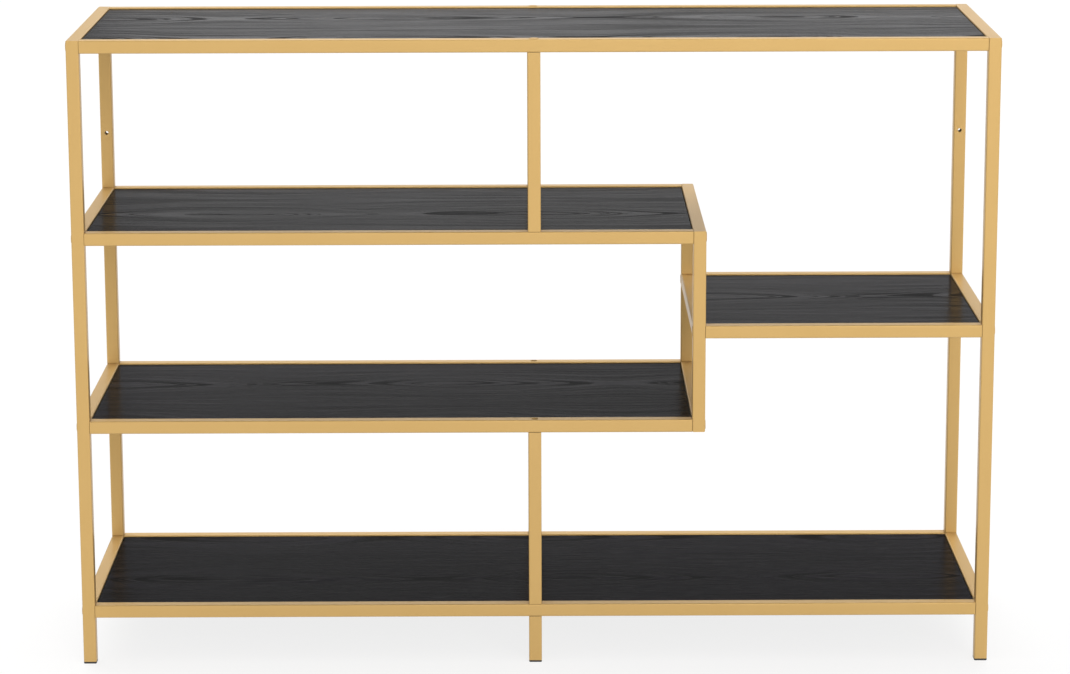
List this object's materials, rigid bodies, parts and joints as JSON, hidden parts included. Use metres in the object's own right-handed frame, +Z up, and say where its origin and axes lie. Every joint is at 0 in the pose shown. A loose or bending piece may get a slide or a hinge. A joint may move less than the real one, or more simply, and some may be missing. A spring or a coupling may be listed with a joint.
{
  "type": "staircase bookshelf",
  "caption": "Free-standing stepped bookcase: a gold square-tube steel frame holds black wood-grain shelf panels at staggered heights, with open bays front and back.",
  "frame": {"origin": "on the floor, under the middle of the frame", "axes": "+X to the viewer's right along the shelves, +Y from the front to the back, +Z up"},
  "size_m": [1.1412, 0.35, 0.7906],
  "materials": {
    "gold_frame": "satin gold powder coat on steel tube",
    "panel_wood": "black wood-grain melamine, semi-gloss",
    "fastener_steel": "zinc-plated steel",
    "plug_plastic": "satin gold plastic",
    "foot_plastic": "matt black plastic"
  },
  "bodies": {
    "root": {"back_centre_leg": "gold_frame", "bolt_hole_plugs": "plug_plastic", "bottom_back_rail": "gold_frame", "bottom_front_rail": "gold_frame", "bottom_panel": "panel_wood", "bottom_panel_tabs": "gold_frame", "centre_leg_studs": "fastener_steel", "centre_post_bolts": "fastener_steel", "centre_post_nuts": "fastener_steel", "foot_caps": "foot_plastic", "front_centre_leg": "gold_frame", "left_back_post": "gold_frame", "left_bottom_depth_rail": "gold_frame", "left_front_post": "gold_frame", "left_lower_depth_rail": "gold_frame", "left_top_depth_rail": "gold_frame", "left_upper_depth_rail": "gold_frame", "lower_back_centre_post": "gold_frame", "lower_back_rail": "gold_frame", "lower_front_centre_post": "gold_frame", "lower_front_rail": "gold_frame", "lower_panel": "panel_wood", "lower_panel_tabs": "gold_frame", "panel_screws": "fastener_steel", "rail_bolts": "fastener_steel", "rail_end_nuts": "fastener_steel", "right_back_post": "gold_frame", "right_bottom_depth_rail": "gold_frame", "right_front_post": "gold_frame", "right_side_depth_rail": "gold_frame", "right_top_depth_rail": "gold_frame", "side_back_rail": "gold_frame", "side_front_rail": "gold_frame", "side_panel": "panel_wood", "side_panel_tabs": "gold_frame", "step_back_post": "gold_frame", "step_front_post": "gold_frame", "step_lower_depth_rail": "gold_frame", "step_side_depth_rail": "gold_frame", "step_upper_depth_rail": "gold_frame", "top_back_rail": "gold_frame", "top_front_rail": "gold_frame", "top_panel": "panel_wood", "top_panel_tabs": "gold_frame", "upper_back_centre_post": "gold_frame", "upper_back_rail": "gold_frame", "upper_front_centre_post": "gold_frame", "upper_front_rail": "gold_frame", "upper_panel": "panel_wood", "upper_panel_tabs": "gold_frame"}
  },
  "joints": []
}
